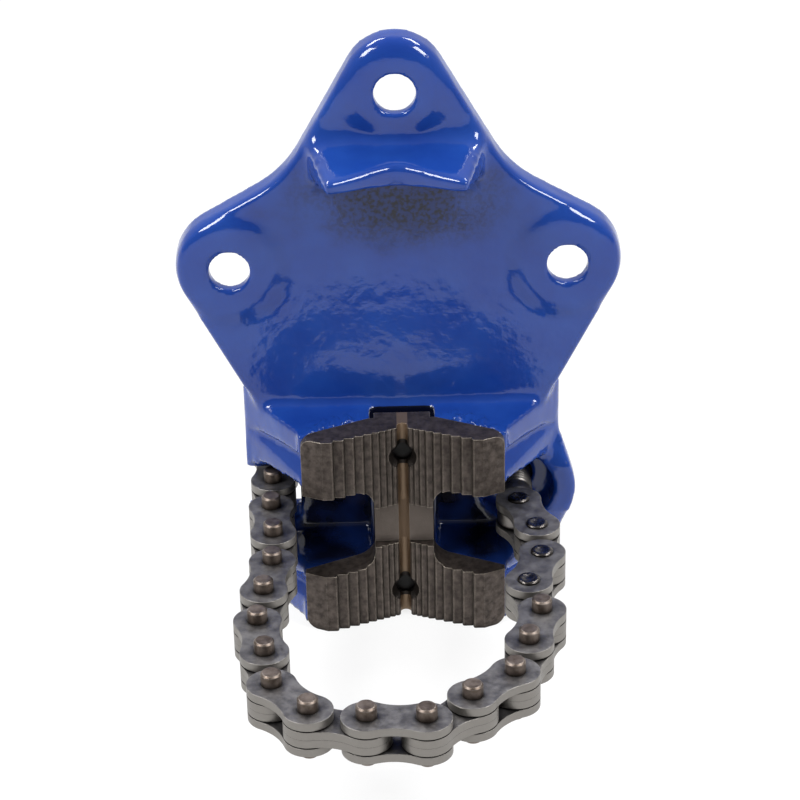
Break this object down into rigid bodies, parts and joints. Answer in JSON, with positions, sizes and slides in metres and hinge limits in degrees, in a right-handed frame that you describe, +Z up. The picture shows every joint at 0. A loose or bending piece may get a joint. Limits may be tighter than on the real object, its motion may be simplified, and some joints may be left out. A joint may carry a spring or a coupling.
{
  "type": "chain pipe vise",
  "caption": "Bench chain pipe vise: cast body with a lugged base plate, serrated V jaw, leaf chain and a screw with a tommy bar that draws the chain tight.",
  "frame": {"origin": "middle of the front end face's rear edge: on the mounting face (y = 0), in the plane of symmetry of the casting, level with the surface it stands on in the picture", "axes": "as the vise stands in the picture: +X to the viewer's right, +Y away from the viewer and out of the mounting face, +Z up along the axis of a clamped pipe. Bolted to a bench, the mounting face (+Y) goes down on the bench top and -Z points out over the bench's edge"},
  "size_m": [0.1574, 0.2402, 0.2157],
  "materials": {
    "blue_enamel": "gloss enamel on a rough casting",
    "jaw_steel": "blackened tool steel",
    "link_steel": "dull grey steel",
    "pin_steel": "bare turned steel",
    "screw_steel": "bare steel"
  },
  "bodies": {
    "casting": {"vise_casting": "blue_enamel", "serrated_jaw": "jaw_steel", "jaw_screws": "jaw_steel", "thrust_washer": "screw_steel"},
    "screw": {"chain_screw": "screw_steel"},
    "hub": {"hub_nut": "link_steel"},
    "bar": {"tommy_bar": "screw_steel", "upper_knob": "screw_steel", "lower_knob": "screw_steel"},
    "outer_link_1": {"outer_plates_1": "link_steel", "link_pins_1": "pin_steel"},
    "outer_link_2": {"outer_plates_2": "link_steel", "link_pins_2": "pin_steel"},
    "outer_link_3": {"outer_plates_3": "link_steel", "link_pins_3": "pin_steel"},
    "outer_link_4": {"outer_plates_4": "link_steel", "link_pins_4": "pin_steel"},
    "outer_link_5": {"outer_plates_5": "link_steel", "link_pins_5": "pin_steel"},
    "outer_link_6": {"outer_plates_6": "link_steel", "link_pins_6": "pin_steel"},
    "outer_link_7": {"outer_plates_7": "link_steel", "link_pins_7": "pin_steel"},
    "outer_link_8": {"outer_plates_8": "link_steel", "link_pins_8": "pin_steel"},
    "outer_link_9": {"outer_plates_9": "link_steel", "link_pins_9": "pin_steel"},
    "outer_link_10": {"outer_plates_10": "link_steel", "link_pins_10": "pin_steel"},
    "inner_link_1": {"inner_plates_1": "link_steel"},
    "inner_link_2": {"inner_plates_2": "link_steel"},
    "inner_link_3": {"inner_plates_3": "link_steel"},
    "inner_link_4": {"inner_plates_4": "link_steel"},
    "inner_link_5": {"inner_plates_5": "link_steel"},
    "inner_link_6": {"inner_plates_6": "link_steel"},
    "inner_link_7": {"inner_plates_7": "link_steel"},
    "inner_link_8": {"inner_plates_8": "link_steel"},
    "inner_link_9": {"inner_plates_9": "link_steel"}
  },
  "joints": [
    {"name": "handle_spin", "type": "hinge", "parent": "casting", "child": "hub", "pos_m": [0.0415, 0.02, 0.039], "axis": [0, -1, 0], "range_deg": [-2040, 2440]},
    {"name": "screw_feed", "type": "slide", "parent": "casting", "child": "screw", "axis": [0, 1, 0], "range_m": [-0.01, 0.012]},
    {"name": "bar_slide", "type": "slide", "parent": "hub", "child": "bar", "axis": [0, 0, 1], "range_m": [-0.068, 0.008]},
    {"name": "chain_pivot_1", "type": "hinge", "parent": "screw", "child": "outer_link_1", "pos_m": [0.0415, -0.0265, 0.039], "axis": [0, 0, 1], "range_deg": [0, 1.4]},
    {"name": "chain_pivot_2", "type": "hinge", "parent": "outer_link_1", "child": "inner_link_1", "pos_m": [0.04707, -0.04472, 0.039], "axis": [0, 0, 1], "range_deg": [0, 1.4]},
    {"name": "chain_pivot_3", "type": "hinge", "parent": "inner_link_1", "child": "outer_link_2", "pos_m": [0.04773, -0.06376, 0.039], "axis": [0, 0, 1], "range_deg": [0, 1.4]},
    {"name": "chain_pivot_4", "type": "hinge", "parent": "outer_link_2", "child": "inner_link_2", "pos_m": [0.04217, -0.08197, 0.039], "axis": [0, 0, 1], "range_deg": [0, 1.4]},
    {"name": "chain_pivot_5", "type": "hinge", "parent": "inner_link_2", "child": "outer_link_3", "pos_m": [0.04547, -0.10073, 0.039], "axis": [0, 0, 1], "range_deg": [0, 1.4]},
    {"name": "chain_pivot_6", "type": "hinge", "parent": "outer_link_3", "child": "inner_link_3", "pos_m": [0.04022, -0.11905, 0.039], "axis": [0, 0, 1], "range_deg": [-6.8, 8.1]},
    {"name": "chain_pivot_7", "type": "hinge", "parent": "inner_link_3", "child": "outer_link_4", "pos_m": [0.03465, -0.13726, 0.039], "axis": [0, 0, 1], "range_deg": [0, 10.2]},
    {"name": "chain_pivot_8", "type": "hinge", "parent": "outer_link_4", "child": "inner_link_4", "pos_m": [0.02049, -0.15001, 0.039], "axis": [0, 0, 1], "range_deg": [0, 20.2]},
    {"name": "chain_swing", "type": "hinge", "parent": "inner_link_4", "child": "outer_link_5", "pos_m": [0.00569, -0.162, 0.039], "axis": [0, 0, 1], "range_deg": [0, 30]},
    {"name": "chain_pivot_10", "type": "hinge", "parent": "outer_link_5", "child": "inner_link_5", "pos_m": [-0.01331, -0.16067, 0.039], "axis": [0, 0, 1], "range_deg": [0, 30.2]},
    {"name": "chain_pivot_11", "type": "hinge", "parent": "inner_link_5", "child": "outer_link_6", "pos_m": [-0.0318, -0.15606, 0.039], "axis": [0, 0, 1], "range_deg": [0, 40.2]},
    {"name": "chain_pivot_12", "type": "hinge", "parent": "outer_link_6", "child": "inner_link_6", "pos_m": [-0.04379, -0.14126, 0.039], "axis": [0, 0, 1], "range_deg": [0, 40.2]},
    {"name": "chain_pivot_13", "type": "hinge", "parent": "inner_link_6", "child": "outer_link_7", "pos_m": [-0.04677, -0.12244, 0.039], "axis": [0, 0, 1], "range_deg": [-8.1, 6.8]},
    {"name": "chain_pivot_14", "type": "hinge", "parent": "outer_link_7", "child": "inner_link_7", "pos_m": [-0.04975, -0.10363, 0.039], "axis": [0, 0, 1], "range_deg": [0, 25]},
    {"name": "chain_pivot_15", "type": "hinge", "parent": "inner_link_7", "child": "outer_link_8", "pos_m": [-0.04842, -0.08462, 0.039], "axis": [0, 0, 1], "range_deg": [0, 25]},
    {"name": "chain_pivot_16", "type": "hinge", "parent": "outer_link_8", "child": "inner_link_8", "pos_m": [-0.04609, -0.06571, 0.039], "axis": [0, 0, 1], "range_deg": [0, 25]},
    {"name": "chain_pivot_17", "type": "hinge", "parent": "inner_link_8", "child": "outer_link_9", "pos_m": [-0.04643, -0.04667, 0.039], "axis": [0, 0, 1], "range_deg": [0, 25]},
    {"name": "chain_pivot_18", "type": "hinge", "parent": "outer_link_9", "child": "inner_link_9", "pos_m": [-0.04776, -0.02766, 0.039], "axis": [0, 0, 1], "range_deg": [0, 25]},
    {"name": "chain_pivot_19", "type": "hinge", "parent": "inner_link_9", "child": "outer_link_10", "pos_m": [-0.04776, -0.00861, 0.039], "axis": [0, 0, 1], "range_deg": [0, 20]}
  ],
  "couplings": [
    {"joint": "screw_feed", "follows": "handle_spin", "m_per_rad": 0.00027852},
    {"joint": "chain_pivot_6", "follows": "handle_spin", "ratio": 0.0032014},
    {"joint": "chain_pivot_7", "follows": "chain_swing", "ratio": 0.33333},
    {"joint": "chain_pivot_8", "follows": "chain_swing", "ratio": 0.66667},
    {"joint": "chain_pivot_10", "follows": "chain_swing", "ratio": 1},
    {"joint": "chain_pivot_11", "follows": "chain_swing", "ratio": 1.3333},
    {"joint": "chain_pivot_12", "follows": "chain_swing", "ratio": 1.3333},
    {"joint": "chain_pivot_13", "follows": "handle_spin", "ratio": -0.0032014}
  ]
}
